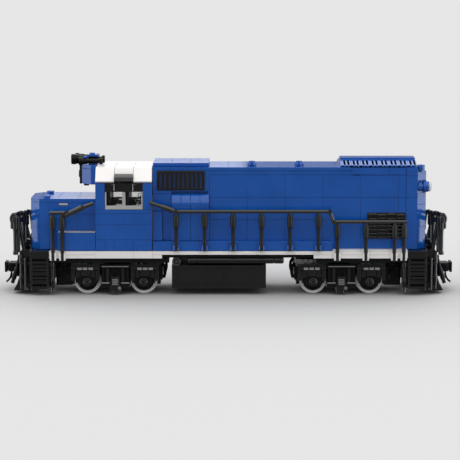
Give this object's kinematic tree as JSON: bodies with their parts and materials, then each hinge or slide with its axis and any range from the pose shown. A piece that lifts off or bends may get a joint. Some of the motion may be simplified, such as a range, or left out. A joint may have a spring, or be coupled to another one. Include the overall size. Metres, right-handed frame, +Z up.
{
  "type": "toy diesel locomotive",
  "caption": "Brick-built toy road-switcher locomotive with blue hoods, white cab roof, handrails, swivelling two-axle trucks, rolling wheelsets and swinging couplers.",
  "frame": {"origin": "middle of the bounding box's base, on the plane the wheels stand on", "axes": "+X from the cab end to the long-hood end, +Y across the width to the locomotive's right, +Z up"},
  "size_m": [0.386, 0.073, 0.1183],
  "materials": {
    "blue_plastic": "gloss moulded",
    "white_plastic": "gloss moulded",
    "black_plastic": "gloss moulded",
    "dark_grey_plastic": "gloss moulded",
    "light_grey_plastic": "gloss moulded",
    "clear_plastic": "clear moulded",
    "wheel_metal": "turned, satin"
  },
  "bodies": {
    "carbody": {"air_tank_left": "dark_grey_plastic", "air_tank_right": "dark_grey_plastic", "battery_box_left": "blue_plastic", "battery_box_right": "blue_plastic", "cab_roof": "white_plastic", "cab_shell": "blue_plastic", "coupler_pin_front": "dark_grey_plastic", "coupler_pin_rear": "dark_grey_plastic", "end_platform_front": "black_plastic", "end_platform_rear": "black_plastic", "end_railing_front": "black_plastic", "end_railing_rear": "black_plastic", "filter_hood": "blue_plastic", "fuel_tank": "black_plastic", "handrail_left": "black_plastic", "handrail_nose_left": "black_plastic", "handrail_nose_right": "black_plastic", "handrail_right": "black_plastic", "headlight_housing": "blue_plastic", "headlight_plate": "black_plastic", "horn": "black_plastic", "intake_grille_left": "black_plastic", "intake_grille_right": "black_plastic", "kingpin_front": "dark_grey_plastic", "kingpin_rear": "dark_grey_plastic", "long_hood": "blue_plastic", "louvre_panel_left": "black_plastic", "louvre_panel_right": "black_plastic", "marker_light_left": "blue_plastic", "marker_light_right": "blue_plastic", "nose_shell": "blue_plastic", "radiator_hatch": "blue_plastic", "side_sill_left": "white_plastic", "side_sill_right": "white_plastic", "sunshade_left": "dark_grey_plastic", "sunshade_right": "dark_grey_plastic", "underframe": "black_plastic", "walkway_skirt_left": "blue_plastic", "walkway_skirt_right": "blue_plastic", "window_frame_left": "light_grey_plastic", "window_frame_right": "light_grey_plastic", "window_pane_left": "clear_plastic", "window_pane_right": "clear_plastic", "windshield": "clear_plastic"},
    "truck_front": {"truck_frame_front": "black_plastic"},
    "coupler_front_swing": {"coupler_front": "black_plastic"},
    "wheelset_front_outer": {"axle_front_outer": "wheel_metal", "wheel_front_outer_left": "wheel_metal", "wheel_front_outer_right": "wheel_metal"},
    "wheelset_front_inner": {"axle_front_inner": "wheel_metal", "wheel_front_inner_left": "wheel_metal", "wheel_front_inner_right": "wheel_metal"},
    "truck_rear": {"truck_frame_rear": "black_plastic"},
    "coupler_rear_swing": {"coupler_rear": "black_plastic"},
    "wheelset_rear_outer": {"axle_rear_outer": "wheel_metal", "wheel_rear_outer_left": "wheel_metal", "wheel_rear_outer_right": "wheel_metal"},
    "wheelset_rear_inner": {"axle_rear_inner": "wheel_metal", "wheel_rear_inner_left": "wheel_metal", "wheel_rear_inner_right": "wheel_metal"}
  },
  "joints": [
    {"name": "truck_front_swivel", "type": "hinge", "parent": "carbody", "child": "truck_front", "pos_m": [-0.096, 0, 0.0272], "axis": [0, 0, 1], "range_deg": [-18, 18]},
    {"name": "coupler_front_swing", "type": "hinge", "parent": "carbody", "child": "coupler_front_swing", "pos_m": [-0.16, 0, 0.0203], "axis": [0, 0, 1], "range_deg": [-15, 15]},
    {"name": "wheelset_front_outer_spin", "type": "hinge", "parent": "truck_front", "child": "wheelset_front_outer", "pos_m": [-0.12, 0, 0.0115], "axis": [0, 1, 0], "continuous": true},
    {"name": "wheelset_front_inner_spin", "type": "hinge", "parent": "truck_front", "child": "wheelset_front_inner", "pos_m": [-0.072, 0, 0.0115], "axis": [0, 1, 0], "continuous": true},
    {"name": "truck_rear_swivel", "type": "hinge", "parent": "carbody", "child": "truck_rear", "pos_m": [0.096, 0, 0.0272], "axis": [0, 0, 1], "range_deg": [-18, 18]},
    {"name": "coupler_rear_swing", "type": "hinge", "parent": "carbody", "child": "coupler_rear_swing", "pos_m": [0.16, 0, 0.0203], "axis": [0, 0, 1], "range_deg": [-15, 15]},
    {"name": "wheelset_rear_outer_spin", "type": "hinge", "parent": "truck_rear", "child": "wheelset_rear_outer", "pos_m": [0.12, 0, 0.0115], "axis": [0, 1, 0], "continuous": true},
    {"name": "wheelset_rear_inner_spin", "type": "hinge", "parent": "truck_rear", "child": "wheelset_rear_inner", "pos_m": [0.072, 0, 0.0115], "axis": [0, 1, 0], "continuous": true}
  ]
}
